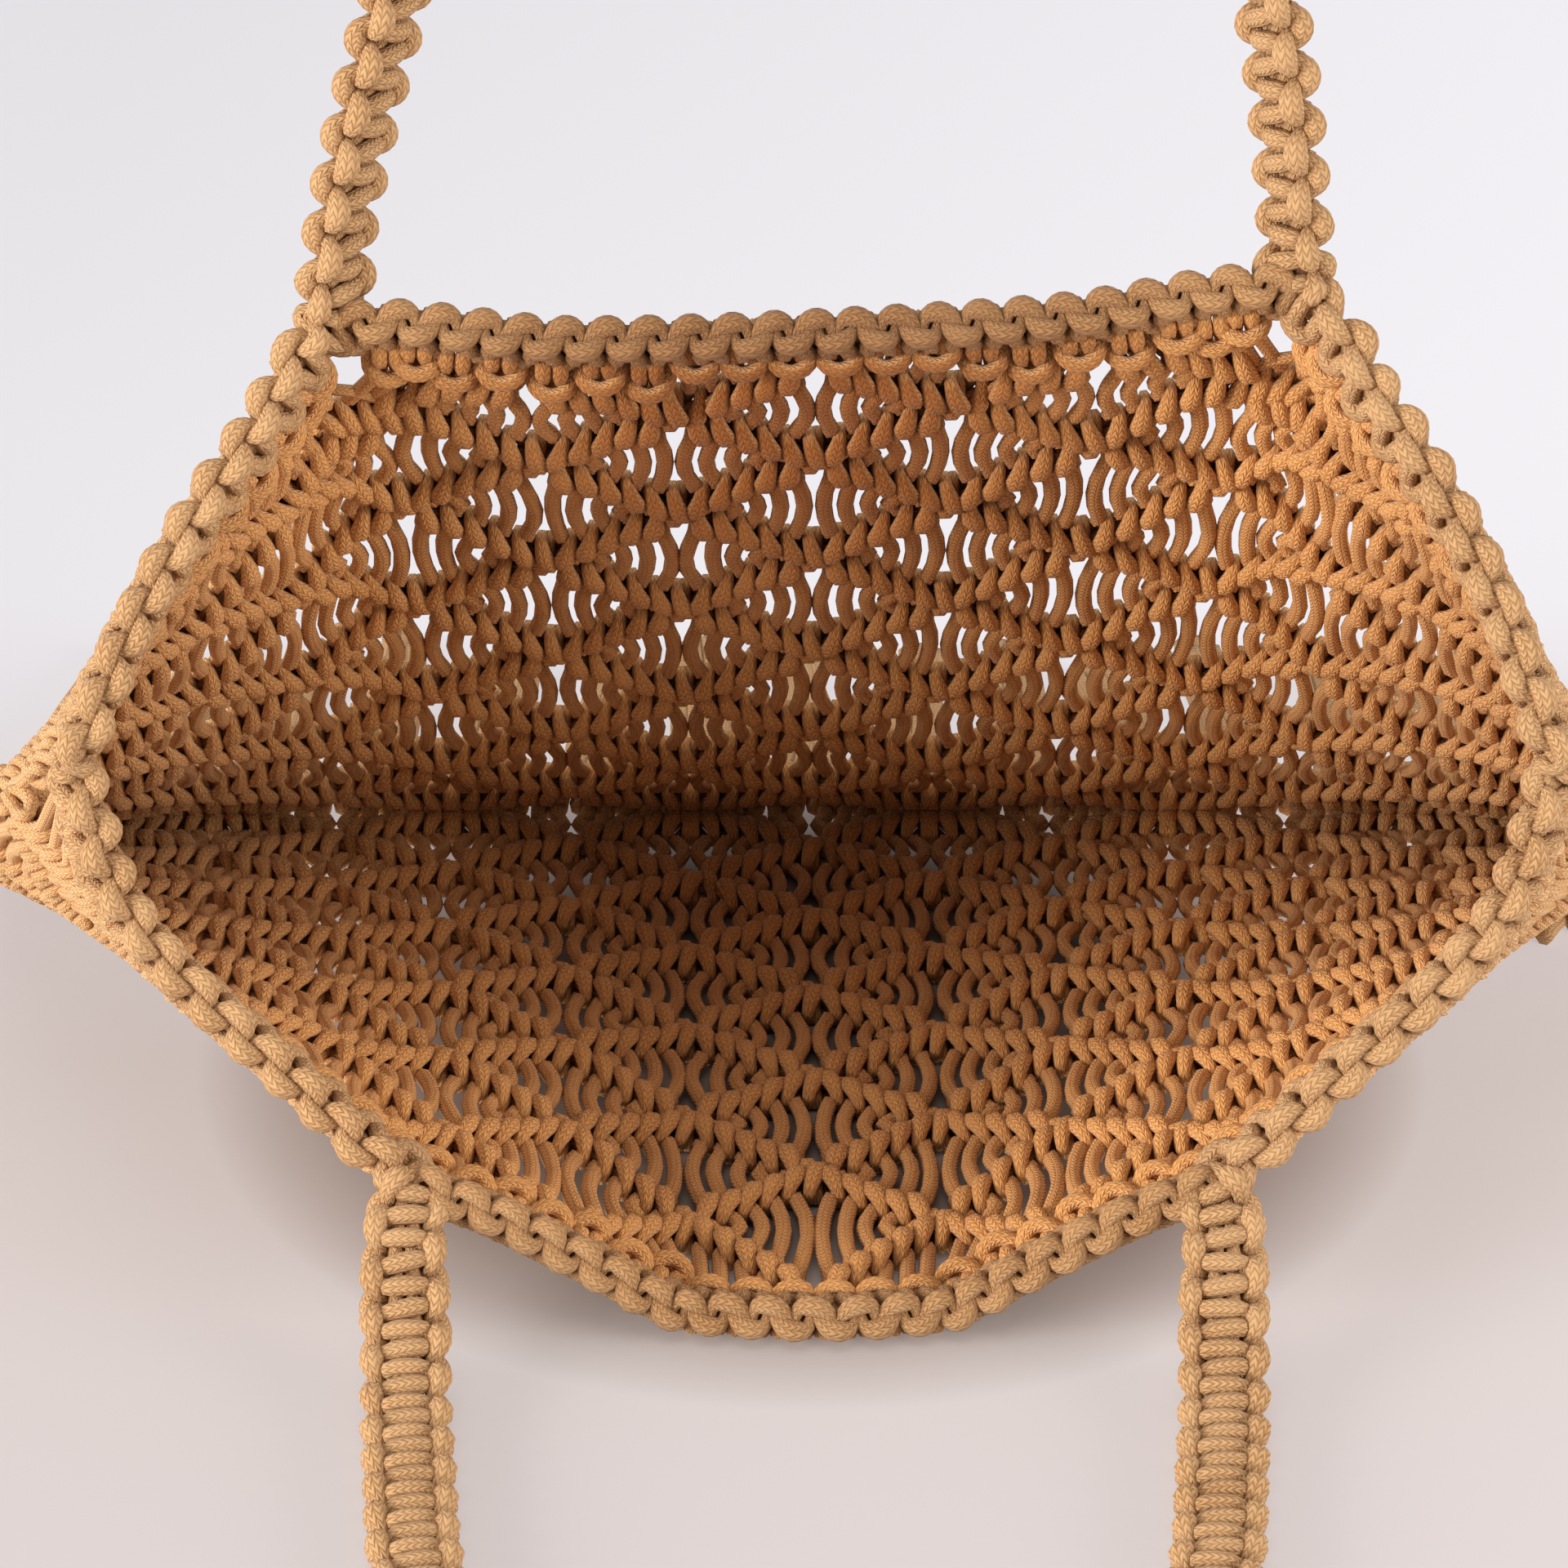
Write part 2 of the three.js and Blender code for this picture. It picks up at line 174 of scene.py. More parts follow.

# Paper, light and camera
# The paper glows, which is painted light; PAPER_SHADOW and the SHADOW values give a painted shadow,
# darker and browner, round the bag
PAPER_NEAR = (0.288, 0.262, 0.256)
PAPER_FAR = (0.345, 0.337, 0.352)
PAPER_SHADOW = (0.82, 0.7, 0.6)
PAPER_GLOW = 1.5
SHADOW_Y = 145.0
SHADOW_ACROSS = 8.8
SHADOW_ALONG = 7.8
FLOOR_REACH = 3.0
LEFT_WINDOW = 94
RIGHT_WINDOW = 56
CEILING = 14
VIEW_AIM = (-6.7, 60.0, 111.5)
VIEW_AWAY = 1330
VIEW_TILT = math.radians(26)
VIEW_LENS = 138

seam_low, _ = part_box("bottom_seam")
LAYOUT_SHIFT = np.array([seam_low[0] * 1000 + SEAM_HALF, seam_low[1] * 1000 - SEAM_Y - 0.3, 0.0])


# Rims and net surface
def mirrored(rows):
    """Both halves of a rim from the rows of one."""
    half = np.array(rows, float)
    other = half[:0:-1] * np.array([-1, -1, 1, 1])
    return np.concatenate([other, half])


FRONT = {
    "rim": mirrored(FRONT_RIM),
    "seam_z": 3.5,
    "lift": REST_LIFT,
    "tilt": 0.0,
    "lean": 0.0,
    "inside": 1.0,
    "spread": 0.88,
}
BACK = {
    "rim": mirrored(BACK_RIM),
    "seam_z": 10.9,
    "lift": 10.9,
    "tilt": 4.5,
    "lean": LOOP_LEAN,
    "inside": -1.0,
    "spread": 1.18,
}


def unit(rows):
    """Vectors of length one."""
    return rows / np.linalg.norm(rows, axis=-1, keepdims=True)


def read_rim(table, u):
    """A smooth curve through a rim's rows, read at u from -1 to 1."""
    stops, points = table[:, 0], table[:, 1:]
    last = len(stops) - 1
    before = np.maximum(np.arange(last + 1) - 1, 0)
    after = np.minimum(np.arange(last + 1) + 1, last)
    slopes = (points[after] - points[before]) / (stops[after] - stops[before])[:, None]
    k = np.clip(np.searchsorted(stops, u) - 1, 0, last - 1)
    span = (stops[k + 1] - stops[k])[:, None]
    t = (u - stops[k])[:, None] / span
    low = (2 * t**3 - 3 * t**2 + 1) * points[k] + (t**3 - 2 * t**2 + t) * span * slopes[k]
    high = (3 * t**2 - 2 * t**3) * points[k + 1] + (t**3 - t**2) * span * slopes[k + 1]
    return low + high


def rim_point(side, u):
    """Points of a rim, higher at its right end where the panel is tilted, and never in the floor."""
    rim = read_rim(side["rim"], u)
    rim[:, 2] = np.maximum(rim[:, 2] + side["tilt"] * RIM_TILT * u * (1 - u * u), REST_LIFT)
    return rim


def net_point(side, u, v, folded=True):
    """The net's middle surface; near the side folds both panels round towards each other."""
    rim = rim_point(side, u)
    away = np.clip(1 - v, 0, None)
    sag = SAG_CENTRE + (SAG_SIDE - SAG_CENTRE) * u * u
    x = SEAM_HALF * u + (rim[:, 0] - SEAM_HALF * u) * away**FLARE
    y = SEAM_Y + (rim[:, 1] - SEAM_Y) * (1 - v)
    z = side["seam_z"] + (rim[:, 2] - side["lift"]) * away**sag
    if folded:
        round_off = np.clip((np.abs(u) - FOLD_START) / (1 - FOLD_START), 0, 1)
        z = z + side["inside"] * FOLD_HALF * (1 - np.sqrt(1 - round_off**2))
    return np.stack([x, y, z], axis=1)


def net_frame(side, u, v, folded=True):
    """Point, across, down and inward unit vectors, and the net's change per unit of u and of v."""
    u, v = np.broadcast_arrays(np.asarray(u, float), np.asarray(v, float))
    step = 2e-3
    u0, u1 = np.clip(u - step, -1, 1), np.clip(u + step, -1, 1)
    v1 = np.minimum(v + step, 1)
    v0 = v1 - 2 * step
    per_u = (net_point(side, u1, v, folded) - net_point(side, u0, v, folded)) / (u1 - u0)[:, None]
    per_v = (net_point(side, u, v1, folded) - net_point(side, u, v0, folded)) / (v1 - v0)[:, None]
    inward = unit(np.cross(per_u, per_v)) * side["inside"]
    across = unit(per_u)
    down = unit(per_v - across * np.sum(per_v * across, axis=1, keepdims=True))
    return net_point(side, u, v, folded), across, down, inward, per_u, per_v


# Tubes
def smooth_way(points, per_span):
    """A curve through the points that doesn't overshoot, with per_span steps from one to the next."""
    points = np.asarray(points, float)
    ends = np.concatenate([[2 * points[0] - points[1]], points, [2 * points[-1] - points[-2]]])
    gaps = np.maximum(np.sqrt(np.linalg.norm(np.diff(ends, axis=0), axis=1)), 1e-4)[:, None]
    g0, g1, g2 = gaps[:-2], gaps[1:-1], gaps[2:]
    p0, p1, p2, p3 = ends[:-3], ends[1:-2], ends[2:-1], ends[3:]
    m1 = ((p1 - p0) / g0 - (p2 - p0) / (g0 + g1) + (p2 - p1) / g1) * g1
    m2 = ((p2 - p1) / g1 - (p3 - p1) / (g1 + g2) + (p3 - p2) / g2) * g1
    t = (np.arange(per_span) / per_span)[None, :, None]
    p1, p2, m1, m2 = p1[:, None], p2[:, None], m1[:, None], m2[:, None]
    curve = (2 * t**3 - 3 * t**2 + 1) * p1 + (t**3 - 2 * t**2 + t) * m1
    curve = curve + (3 * t**2 - 2 * t**3) * p2 + (t**3 - t**2) * m2
    return np.concatenate([curve.reshape(-1, points.shape[1]), points[-1:]])


def carried_axes(way, start):
    """Side vectors along a way, carried from ring to ring without twist."""
    tangents = unit(np.gradient(way, axis=0))
    axes = np.empty_like(way)
    axis = start
    for k, tangent in enumerate(tangents):
        axis = axis - tangent * np.dot(axis, tangent)
        axis = axis / np.linalg.norm(axis)
        axes[k] = axis
    return tangents, axes


def led_axes(way, start, end):
    """Carried side vectors that also end along a given one."""
    tangents, axes = carried_axes(way, start)
    across, along = np.cross(axes[-1], end), tangents[-1]
    turn = math.atan2(np.dot(across, along), np.dot(axes[-1], end - along * np.dot(end, along)))
    turn = np.linspace(0, turn, len(way))[:, None]
    return axes * np.cos(turn) + np.cross(tangents, axes) * np.sin(turn)


def tube(way, axes, wide, thick, sides):
    """One cord: rings of points about its way, with flat ends, and its surface unrolled."""
    tangents = unit(np.gradient(way, axis=0) + 1e-9)
    side = unit(axes - tangents * np.sum(axes * tangents, axis=1, keepdims=True))
    other = np.cross(tangents, side)
    way = np.concatenate([way[:1], way, way[-1:]])
    side = np.concatenate([side[:1], side, side[-1:]])
    other = np.concatenate([other[:1], other, other[-1:]])
    wide = np.concatenate([[0.05], wide, [0.05]])[:, None, None]
    thick = np.concatenate([[0.05], thick, [0.05]])[:, None, None]
    turn = 2 * math.pi * np.arange(sides) / sides
    rings = way[:, None] + wide * np.cos(turn)[None, :, None] * side[:, None]
    rings = rings + thick * np.sin(turn)[None, :, None] * other[:, None]
    count = len(way)
    r, s = np.meshgrid(np.arange(count - 1), np.arange(sides), indexing="ij")
    r, s = r.ravel(), s.ravel()
    t = (s + 1) % sides
    faces = np.stack([r * sides + s, r * sides + t, (r + 1) * sides + t, (r + 1) * sides + s], axis=1)
    run = np.concatenate([[0.0], np.cumsum(np.linalg.norm(np.diff(way, axis=0), axis=1))])
    low, high = s / sides, (s + 1) / sides
    corners = [(low, run[r]), (high, run[r]), (high, run[r + 1]), (low, run[r + 1])]
    unrolled = np.stack([np.stack(c, axis=1) for c in corners], axis=1)
    outward = np.cos(turn)[None, :, None] * side[:, None] + np.sin(turn)[None, :, None] * other[:, None]
    return rings.reshape(-1, 3), faces, unrolled, outward.reshape(-1, 3)


def between(values, low, high):
    """Shares from 0 at low to 1 at high."""
    return np.clip((values - low) / (high - low), 0, 1)


def painted_hollow_shade(points, outward, shaded):
    """Shares of painted shade, from how a cord faces the bag's hollow and how far in it lies: most on the
    side that faces the hollow and never under shaded, deeper high up in the middle, low at the back and
    near the upper side edges, the first share less towards the sides.
    """
    x, y, z = points.T
    hollow = np.tile([0.0, HOLLOW_Y, HOLLOW_Z], (len(points), 1))
    hollow[:, 0] = np.clip(x, -HOLLOW_HALF, HOLLOW_HALF)
    inside = np.clip(0.65 + 0.9 * np.sum(outward * unit(hollow - points), axis=1), 0, 1)
    inside = np.maximum(inside, shaded)
    fade = np.interp(z, [10, 25, 60, 150], [0.45, 0.1, 0.2, 1.0])
    fade = fade + 0.35 * between(y, 120, 220) * between(z, 22, 10)
    fade = fade * between(y, 0, 80)
    edge = between(np.abs(x), 115, 150) * between(z, 70, 120)
    deep = inside * (fade * np.clip(1.05 - ((x + 6) / 95) ** 2, 0, 1) + 0.3 * edge)
    inside = inside * (1 - 0.45 * between(np.abs(x), 100, 160))
    return inside, deep


def cord_piece(name, tubes, finish, node, shaded=0.0):
    """Joins tubes into one mesh that stands for a solid; shaded is the least share of painted shade."""
    starts = np.cumsum([0] + [len(t[0]) for t in tubes[:-1]])
    points = np.concatenate([t[0] for t in tubes])
    faces = np.concatenate([t[1] + start for t, start in zip(tubes, starts)])
    unrolled = np.concatenate([t[2] for t in tubes])
    outward = np.concatenate([t[3] for t in tubes])
    inside, deep = painted_hollow_shade(points, outward, shaded)
    points = points + LAYOUT_SHIFT
    points[:, 2] = np.maximum(points[:, 2], 0.1)
    mesh = bpy.data.meshes.new(name)
    mesh.vertices.add(len(points))
    mesh.vertices.foreach_set("co", (points / 1000).astype(np.float32).ravel())
    mesh.loops.add(faces.size)
    mesh.loops.foreach_set("vertex_index", faces.astype(np.int32).ravel())
    mesh.polygons.add(len(faces))
    mesh.polygons.foreach_set("loop_start", np.arange(0, faces.size, 4, dtype=np.int32))
    mesh.update(calc_edges=True)
    layer = mesh.uv_layers.new(name="cord")
    layer.data.foreach_set("uv", unrolled.astype(np.float32).ravel())
    # The shares of painted shade that the cord finishes read
    for tone, shares in (("inside", inside), ("deep", deep)):
        mesh.attributes.new(tone, "FLOAT", "POINT").data.foreach_set("value", shares.astype(np.float32))
    mesh.polygons.foreach_set("use_smooth", np.ones(len(faces), bool))
    mesh.materials.append(finish)
    mesh.validate()
    piece = bpy.data.objects.new(name, mesh)
    bpy.context.scene.collection.objects.link(piece)
    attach(piece, "root")
    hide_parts(node)


# Net
# A double half hitch about a ridge, inside out: uphill, down, inwards, half width, half thickness.
HITCH = np.array([
    (1.3, -5.4, -0.4, 1.8, 1.7),
    (1.3, -3.0, -2.1, 1.6, 1.5),
    (1.1, 0.0, -2.8, 1.6, 1.5),
    (-0.3, 3.2, -2.5, 1.6, 1.5),
    (-2.6, 4.6, -1.7, 1.6, 1.5),
    (-4.1, 5.1, 0.2, 1.7, 1.6),
    (-4.1, 4.1, 2.0, 2.1, 1.8),
    (-3.6, 2.2, 3.0, 2.55, 1.9),
    (-3.0, -0.2, 3.2, 2.5, 1.9),
    (-2.3, -2.7, 2.6, 2.0, 1.8),
    (-1.7, -4.7, 0.9, 1.5, 1.5),
    (-1.7, -3.6, -1.7, 1.5, 1.5),
    (-1.9, 0.0, -2.8, 1.6, 1.5),
    (-1.6, 3.2, -1.9, 1.7, 1.5),
    (-1.2, 5.6, -0.3, 1.8, 1.8),
])

# Half of a lark's head on the rim's lower edge: across, down, inwards
LARK = np.array([
    (-2.2, 8.6, 0.3),
    (-1.9, 4.0, 0.9),
    (-1.8, -0.4, 2.6),
    (-2.0, -3.5, 1.2),
    (-2.6, -4.0, -1.6),
    (-3.5, -1.0, -2.9),
    (-4.3, 2.2, -1.2),
    (-4.2, 3.9, 1.9),
    (-2.6, 4.9, 4.0),
    (0.0, 5.4, 4.6),
])


def row_place(side, j):
    """How far down the net a half row lies, from the rim at 0 to the seam at 1."""
    return EDGE_V + (1 - EDGE_V) * (j / NET_ROWS) ** side["spread"]


def ridge_rows(a):
    """Where a cord meets the ridges, in half rows, and which way each ridge falls."""
    rows = []
    for m in range(-NET_COLUMNS - 1, NET_ROWS + NET_COLUMNS + 1):
        if m % 2:
            rows += [(a + m, 1.0), (m - a, -1.0)]
    rows = sorted(r for r in rows if 0 < r[0] < NET_ROWS)
    return np.array(rows)


def spread_knots(along, low, high):
    """Pushes knots apart where two ridges cross, and keeps them between the rim and the seam."""
    along = along.copy()
    for _ in range(40):
        short = np.maximum(KNOT_GAP - np.diff(along), 0) / 2
        along[:-1] -= short
        along[1:] += short
        along = np.clip(along, low, high)
    return along


def place_in_diamond(a, middle_row):
    """Which strand this is, counted from the middle of its diamond."""
    centre = math.floor(a) if (math.floor(a) + middle_row) % 2 == 0 else math.ceil(a)
    return int(round(abs(a - centre) * CORDS_PER_HALF + 0.5))


def scatter(k, m):
    """A fixed share from 0 to 1 that looks random from one pair of numbers to the next."""
    value = math.sin(12.9898 * k + 78.233 * m) * 43758.5453
    return value - math.floor(value)


def strand_rows(side, u, at, lengths, stops, hand, place, chance):
    """A bare strand between two knots, bowed to the middle of its diamond, each a little differently."""
    shares = (at - at[0]) / (at[-1] - at[0])
    bow = (INNER_BOW if place == 1 else OUTER_BOW) * (0.5 + chance)
    bowed = bow * np.sin(math.pi * shares ** (0.8 + 0.5 * chance))
    outward = LEAVE * (1 - shares) ** 2 + ENTER * shares**2 - bowed
    v = np.interp(at, lengths, stops)
    point, across, _, inward, _, _ = net_frame(side, np.full(len(v), u), v)
    way = point + hand * outward[:, None] * across - 0.2 * inward
    return np.concatenate([way, across, np.full((len(v), 2), CORD)], axis=1)


def hanging_cord(side, k):
    """Rows of point, across vector, half width and half thickness of a cord, from its first knot on."""
    a = (k + 0.5) / CORDS_PER_HALF
    u = 2 * a / NET_COLUMNS - 1
    stops = np.linspace(0, 1, 81)
    line = net_point(side, np.full(81, u), stops)
    lengths = np.concatenate([[0.0], np.cumsum(np.linalg.norm(np.diff(line, axis=0), axis=1))])
    rows = ridge_rows(a)
    along = np.interp(row_place(side, rows[:, 0]), stops, lengths)
    highest = CENTRE_KNOT if abs(u) < CENTRE_U else FIRST_KNOT
    if side is BACK and abs(abs(u) - ROOT_U) < ROOT_NEAR:
        highest = ROOT_KNOT
    along = spread_knots(along, highest, lengths[-1] - LAST_KNOT)
    v = np.interp(along, lengths, stops)
    point, across, down, inward, _, _ = net_frame(side, np.full(len(v), u), v)
    hand = rows[:, 1]
    blocks = []
    for m in range(len(v)):
        knot = HITCH.copy()
        before = along[m] - along[m - 1] if m else math.inf
        after = along[m + 1] - along[m] if m + 1 < len(v) else lengths[-1] - along[m] + SEAM_ROOM
        if hand[m] < 0 and after < TIGHT_PAIR:
            knot[5:11, 1] += TIGHT_DROP
            knot[5:11, 2] -= TIGHT_SINK
        knot = np.concatenate([knot[:4], smooth_way(knot[4:12], 2), knot[12:]])
        if before < TIGHT_PAIR:
            knot = knot[1:]
        if after < TIGHT_PAIR:
            knot = knot[:-1]
        way = point[m] - hand[m] * knot[:, 0:1] * across[m]
        way = way + knot[:, 1:2] * down[m] + knot[:, 2:3] * inward[m]
        blocks.append(np.concatenate([way, np.tile(across[m], (len(way), 1)), knot[:, 3:5]], axis=1))
        if after < BARE_LEAST:
            continue
        middle_row = int(round((rows[m, 0] + rows[m + 1, 0]) / 2)) if m + 1 < len(v) else NET_ROWS
        steps = 3 if after < LONG_BARE else 5
        at = np.linspace(along[m] + KNOT_TAIL, along[m] + after - KNOT_HEAD, steps)
        place = place_in_diamond(a, middle_row)
        blocks.append(strand_rows(side, u, at, lengths, stops, hand[m], place, scatter(k, m)))
    return u, along[0], lengths, stops, np.concatenate(blocks)


def seam_end(rows, side):
    """The last stretch of a hanging cord, into the knots along the seam."""
    last = rows[-1].copy()
    last[0:3] = (last[0], SEAM_Y + 4.5, 7.2 - 2.2 * side["inside"])
    last[6:8] = CORD
    return np.concatenate([rows, [last]])


def lark_head(side, left, right, k):
    """Two neighbouring cords as one: up the first, round the rim's edge and down the second."""
    u0, first0, lengths, stops, rows0 = left
    u1, first1, _, _, rows1 = right
    middle = (u0 + u1) / 2
    lift = LARK_LOW if (k // 2) % 2 else LARK_HIGH
    if abs(middle) < CENTRE_U:
        lift = LARK_CENTRE
    if side is BACK:
        beside = abs(middle) - ROOT_U + 0.01
        middle += math.copysign(ROOT_GAP, middle * beside) * math.exp(-(beside / ROOT_SPREAD) ** 2)
    v = np.interp([CARRIER + lift], lengths, stops)
    point, across, down, inward, per_u, _ = net_frame(side, np.array([middle]), v)
    spacing = np.linalg.norm(per_u[0]) * (u1 - u0) / 2
    half = LARK.copy()
    half[:, 0] *= min(1.0, spacing / LARK_HALF)
    other = half[::-1][1:] * np.array([-1, 1, 1])
    starts = 0 if first0 > FAR_KNOT else 1
    ends = len(other) if first1 > FAR_KNOT else len(other) - 1
    local = smooth_way(np.concatenate([half[starts:], other[:ends]]), 2)
    way = point[0] + local[:, 0:1] * across[0] + local[:, 1:2] * down[0] + local[:, 2:3] * inward[0]
    axes = led_axes(way, across[0], across[0])
    lark = np.concatenate([way, axes, np.full((len(way), 2), CORD)], axis=1)
    return np.concatenate([rows0[::-1], lark, rows1])


def ridge_cores(side, half):
    """The cords that run inside the ridges, left of the middle for -1 and right of it for 1."""
    tubes = []
    for m in range(-NET_COLUMNS - 1, NET_ROWS + NET_COLUMNS + 1):
        if m % 2 == 0:
            continue
        for hand in (1, -1):
            a = np.arange(0, NET_COLUMNS + 0.01, 0.25)
            j = hand * a + m
            u = 2 * a / NET_COLUMNS - 1
            inside = (j > 0.25) & (j < NET_ROWS - 0.2) & (half * u > -0.01)
            if inside.sum() < 3:
                continue
            u, j = np.clip(u[inside], -0.99, 0.99), j[inside]
            point, _, _, inward, _, _ = net_frame(side, u, row_place(side, j))
            size = np.full(len(u), RIDGE_CORE)
            tubes.append(tube(point + 0.2 * inward, inward, size, size, CORE_SIDES))
    return tubes


def net_half(name, side, half, finish, node):
    """The left half of a panel's net for -1, the right half for 1."""
    first = 0 if half < 0 else CORD_COUNT // 2
    tubes = []
    for k in range(first, first + CORD_COUNT // 2, 2):
        pair = []
        for cord in (hanging_cord(side, k), hanging_cord(side, k + 1)):
            pair.append(cord[:4] + (seam_end(cord[4], side),))
        rows = lark_head(side, *pair, k)
        tubes.append(tube(rows[:, 0:3], rows[:, 3:6], rows[:, 6], rows[:, 7], NET_SIDES))
    tubes += ridge_cores(side, half)
    cord_piece(name, tubes, finish, node)


# Square-knot straps
def strap_line(centres, faces):
    """Arc length, centre, width and face vectors along a strap's middle line."""
    run = np.concatenate([[0.0], np.cumsum(np.linalg.norm(np.diff(centres, axis=0), axis=1))])
    tangents = unit(np.gradient(centres, axis=0))
    wide = unit(np.cross(faces, tangents))
    face = np.cross(tangents, wide)
    return run, centres, wide, face


def turned_face(x, z):
    """Where the back handle's strap faces: partly to the front, but more to the middle of its loop."""
    middle_z = (BACK_LOOP[0][2] + BACK_LOOP[-1][2]) / 2
    inward = np.array([-x, 0.0, 0.0 if z < BACK_LOOP[3][2] else middle_z - z])
    return unit(inward) * math.sin(LOOP_TURN) + np.array([0, -math.cos(LOOP_TURN), 0])


def handle_line(side, loop):
    """From the left fold along the rim, round the loop and to the right fold, and where the roots are."""
    halves = []
    for sign in (-1, 1):
        u = sign * np.linspace(1, ROOT_U, 9)
        _, _, _, inward, _, _ = net_frame(side, u, np.full(9, EDGE_V), folded=False)
        rim = rim_point(side, u)
        controls = list(zip(rim, inward))
        controls[0] = (rim[0] + FOLD_OVERRUN * unit(rim[0] - rim[1]), inward[0])
        for x, y, z in loop:
            leaning = sign * x + side["lean"] * (z - loop[0][2])
            tilted = z + sign * side["tilt"] * x / loop[0][0]
            face = turned_face(sign * x, z) if side is BACK else np.array([0.0, 0.0, 1.0])
            controls.append((np.array([leaning, y, tilted]), face))
        halves.append(controls)
    controls = halves[0] + halves[1][::-1][1:]
    steps = 8
    centres = smooth_way([c[0] for c in controls], steps)
    share = np.arange(len(centres)) / steps
    faces = np.array([c[1] for c in controls])
    faces = np.stack([np.interp(share, np.arange(len(faces)), faces[:, i]) for i in range(3)], axis=1)
    line = strap_line(centres, unit(faces))
    roots = line[0][[8 * steps, len(centres) - 1 - 8 * steps]]
    return line, roots


def rim_line(side, roll):
    """The rim between the roots, its face rolled down from the net's inside."""
    u = np.linspace(-ROOT_U, ROOT_U, 161)
    _, _, down, inward, _, _ = net_frame(side, u, np.full(161, EDGE_V), folded=False)
    return strap_line(rim_point(side, u), math.cos(roll) * inward + math.sin(roll) * down)


def placed(line, t, w, n):
    """Points of a strap at arc length t, w across it and n out of its face."""
    run = line[0]
    read = [np.stack([np.interp(t, run, rows[:, i]) for i in range(3)], axis=1) for rows in line[1:]]
    return read[0] + w[:, None] * read[1] + n[:, None] * read[2]


# A side vector that no strap runs along
START_AXIS = np.array([0.3, 0.5, 0.81])

# One half knot of the front cord, from its bar to the next one: half knots along, across, out, radius
BAR_AND_TURN = np.array([
    (0.08, -3.9, 2.6, 2.1),
    (0.03, -1.5, 3.1, 2.3),
    (-0.03, 1.5, 3.1, 2.3),
    (-0.08, 3.9, 2.5, 2.0),
    (-0.22, 5.2, 0.9, 1.6),
    (-0.12, 6.2, -1.0, 1.8),
    (0.15, 7.0, -2.3, 2.5),
    (0.5, 7.4, -2.8, 2.8),
    (0.85, 7.0, -2.3, 2.5),
    (1.12, 6.2, -1.0, 1.8),
    (1.22, 5.2, 0.9, 1.6),
])


def square_knots(line, first, last, knot, form, girth=1.0, depth=1.0, lean=0.0):
    """A strap's two knotting cords and two straight ones; form gives its width and its turns' length."""
    stops, width, turns = form
    count = max(int(round((last - first) / knot)), 2)
    pitch = (last - first) / count
    tubes = []
    for which in (1, -1):
        rows = []
        for k in range(count):
            way = which if k % 2 == 0 else -which
            part = BAR_AND_TURN.copy()
            part[:4, 0] *= 1 + way
            part[4:, 0] = 0.5 + np.interp(first + k * pitch, stops, turns) * (part[4:, 0] - 0.5)
            part[5:10, 2] -= which * math.copysign(lean, count / 2 - k) * (part[5:10, 0] - 0.5)
            part[:, 0] = np.clip(first + (part[:, 0] + k + 0.5) * pitch, first, last)
            part[:, 1] *= way * np.interp(part[:, 0], stops, width)
            part[:, 2] *= which * depth
            part[:, 3] *= girth
            rows.append(part if k + 1 < count else part[:6])
        rows = np.concatenate(rows)
        points = placed(line, rows[:, 0], rows[:, 1], rows[:, 2])
        rows = smooth_way(np.concatenate([points, rows[:, 3:4]], axis=1), 2)
        _, axes = carried_axes(rows[:, 0:3], START_AXIS)
        tubes.append(tube(rows[:, 0:3], axes, rows[:, 3], rows[:, 3], STRAP_SIDES))
    for across in (-STRAP_CORE, STRAP_CORE):
        t = np.linspace(first, last, 2 * count)
        points = placed(line, t, across * np.interp(t, stops, width), np.zeros(len(t)))
        _, axes = carried_axes(points, START_AXIS)
        size = np.full(len(t), CORD)
        tubes.append(tube(points, axes, size, size, CORE_SIDES))
    return tubes


def handle_knots(line, roots, loop_width):
    """A whole handle: small at the folds, narrow along the rim and flat in its loop."""
    end = line[0][-1]
    half_stops = [0.5, TAPER, roots[0], roots[0] + WIDENING]
    stops = half_stops + [roots[1] - WIDENING, roots[1], end - TAPER, end - 0.5]
    half_width = [FOLD_WIDTH, SIDE_WIDTH, SIDE_WIDTH, loop_width]
    half_turns = [SIDE_TURN, SIDE_TURN, SIDE_TURN, 1.0]
    form = (stops, half_width + half_width[::-1], half_turns + half_turns[::-1])
    return square_knots(line, 0.5, end - 0.5, HANDLE_KNOT, form)


def rim_knots(line):
    """The rolled edge between a handle's roots, its turns drawn out into two rows."""
    end = line[0][-1]
    form = ([0, end], [RIM_WIDTH, RIM_WIDTH], [RIM_TURN, RIM_TURN])
    return square_knots(line, 1.0, end - 1.0, HALF_KNOT, form, RIM_GIRTH, 1.0, RIM_LEAN)


# Seam and fringe
def seam_knots():
    """A square knot for every four cords, two from each panel."""
    tubes = []
    form = ([0, SEAM_KNOT_LONG], [SEAM_KNOT_WIDE, SEAM_KNOT_WIDE], [1, 1])
    for k in range(0, CORD_COUNT, 2):
        centres = np.tile([SEAM_HALF * (2 * (k + 1) / CORD_COUNT - 1), 0.0, SEAM_KNOT_Z], (9, 1))
        centres[:, 1] = SEAM_Y + 0.5 + np.linspace(0, SEAM_KNOT_LONG, 9)
        line = strap_line(centres, np.tile([0.0, 0.0, 1.0], (9, 1)))
        last = SEAM_KNOT_LONG - SEAM_KNOT_IN
        tubes += square_knots(line, SEAM_KNOT_IN, last, HALF_KNOT, form, SEAM_KNOT_GIRTH, SEAM_KNOT_DEPTH)
    return tubes


